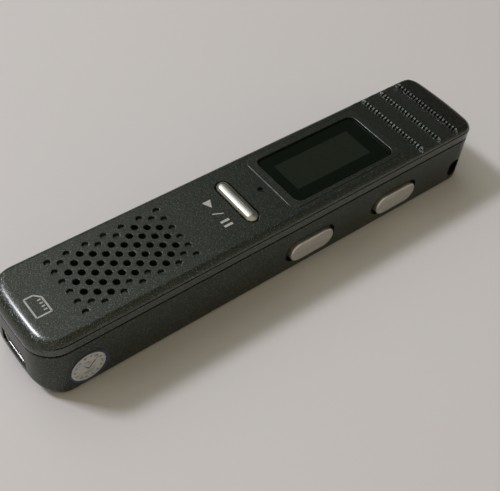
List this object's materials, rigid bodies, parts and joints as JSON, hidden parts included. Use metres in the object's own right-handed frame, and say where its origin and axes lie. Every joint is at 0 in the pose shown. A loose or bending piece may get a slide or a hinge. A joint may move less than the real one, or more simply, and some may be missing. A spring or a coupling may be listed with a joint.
{
  "type": "stick voice recorder",
  "caption": "Slim pocket sound recorder: crowned cover with speaker grille, recessed display, bar button and ribbed nose over a tub with oval side buttons, a slide switch and sockets.",
  "frame": {"origin": "middle of the case's flat underside", "axes": "+X along the case towards the ribbed nose with the earphone socket, +Y towards the side with the record slider, +Z out of the cover with the display"},
  "size_m": [0.1, 0.0214, 0.0152],
  "materials": {
    "flake_plastic": "dark grey-green metallic flake paint, satin",
    "dark_window": "polished, smoked nearly black",
    "black_foam": "fine closed-cell foam",
    "display_cell": "dark glossy cell",
    "clear_plastic": "milky, smooth",
    "board_laminate": "green solder mask",
    "chip_resin": "matt moulded resin",
    "plated_steel": "bright tin plate",
    "speaker_black": "matt",
    "mesh_fabric": "fine black weave",
    "battery_foil": "dull laminate foil",
    "lead_sleeve": "soft insulation",
    "bright_button": "bright plated plastic",
    "silver_button": "satin silver paint",
    "switch_housing": "matt moulded",
    "plunger_plastic": "matt, natural nylon",
    "soft_rubber": "soft, matt",
    "smoked_plastic": "smooth, smoked",
    "black_steel": "black oxide",
    "sticker_film": "thin printed film"
  },
  "bodies": {
    "case": {"top_cover": "flake_plastic", "bottom_shell": "flake_plastic", "display_window": "dark_window", "display_gasket": "black_foam", "display_module": "display_cell", "backlight_guide": "clear_plastic", "main_board": "board_laminate", "processor_chip": "chip_resin", "memory_chip": "chip_resin", "clock_crystal": "plated_steel", "speaker": "speaker_black", "speaker_gasket": "black_foam", "speaker_mesh": "mesh_fabric", "battery": "battery_foil", "battery_pad": "black_foam", "battery_leads": "lead_sleeve", "speaker_leads": "lead_sleeve", "play_switch": "switch_housing", "previous_switch": "switch_housing", "next_switch": "switch_housing", "record_switch": "switch_housing", "card_socket": "plated_steel", "usb_socket": "plated_steel", "usb_tongue": "switch_housing", "earphone_jack": "switch_housing", "microphone": "plated_steel", "microphone_boot": "soft_rubber", "indicator_led": "clear_plastic", "light_pipe": "smoked_plastic", "case_screws": "black_steel", "inspection_sticker": "sticker_film"},
    "play_key": {"play_button": "bright_button", "play_plunger": "plunger_plastic"},
    "previous_key": {"previous_button": "silver_button", "previous_plunger": "plunger_plastic"},
    "next_key": {"next_button": "silver_button", "next_plunger": "plunger_plastic"},
    "record_key": {"record_slider": "silver_button", "record_lever": "plunger_plastic"}
  },
  "joints": [
    {"name": "play_press", "type": "slide", "parent": "case", "child": "play_key", "axis": [0, 0, -1], "range_m": [0, 0.0004], "stiffness_N_per_m": 800, "springref_m": -0.0004},
    {"name": "previous_press", "type": "slide", "parent": "case", "child": "previous_key", "axis": [0, 1, 0], "range_m": [0, 0.0004], "stiffness_N_per_m": 800, "springref_m": -0.0004},
    {"name": "next_press", "type": "slide", "parent": "case", "child": "next_key", "axis": [0, 1, 0], "range_m": [0, 0.0004], "stiffness_N_per_m": 800, "springref_m": -0.0004},
    {"name": "record_slide", "type": "slide", "parent": "case", "child": "record_key", "axis": [1, 0, 0], "range_m": [-0.0025, 0]}
  ]
}
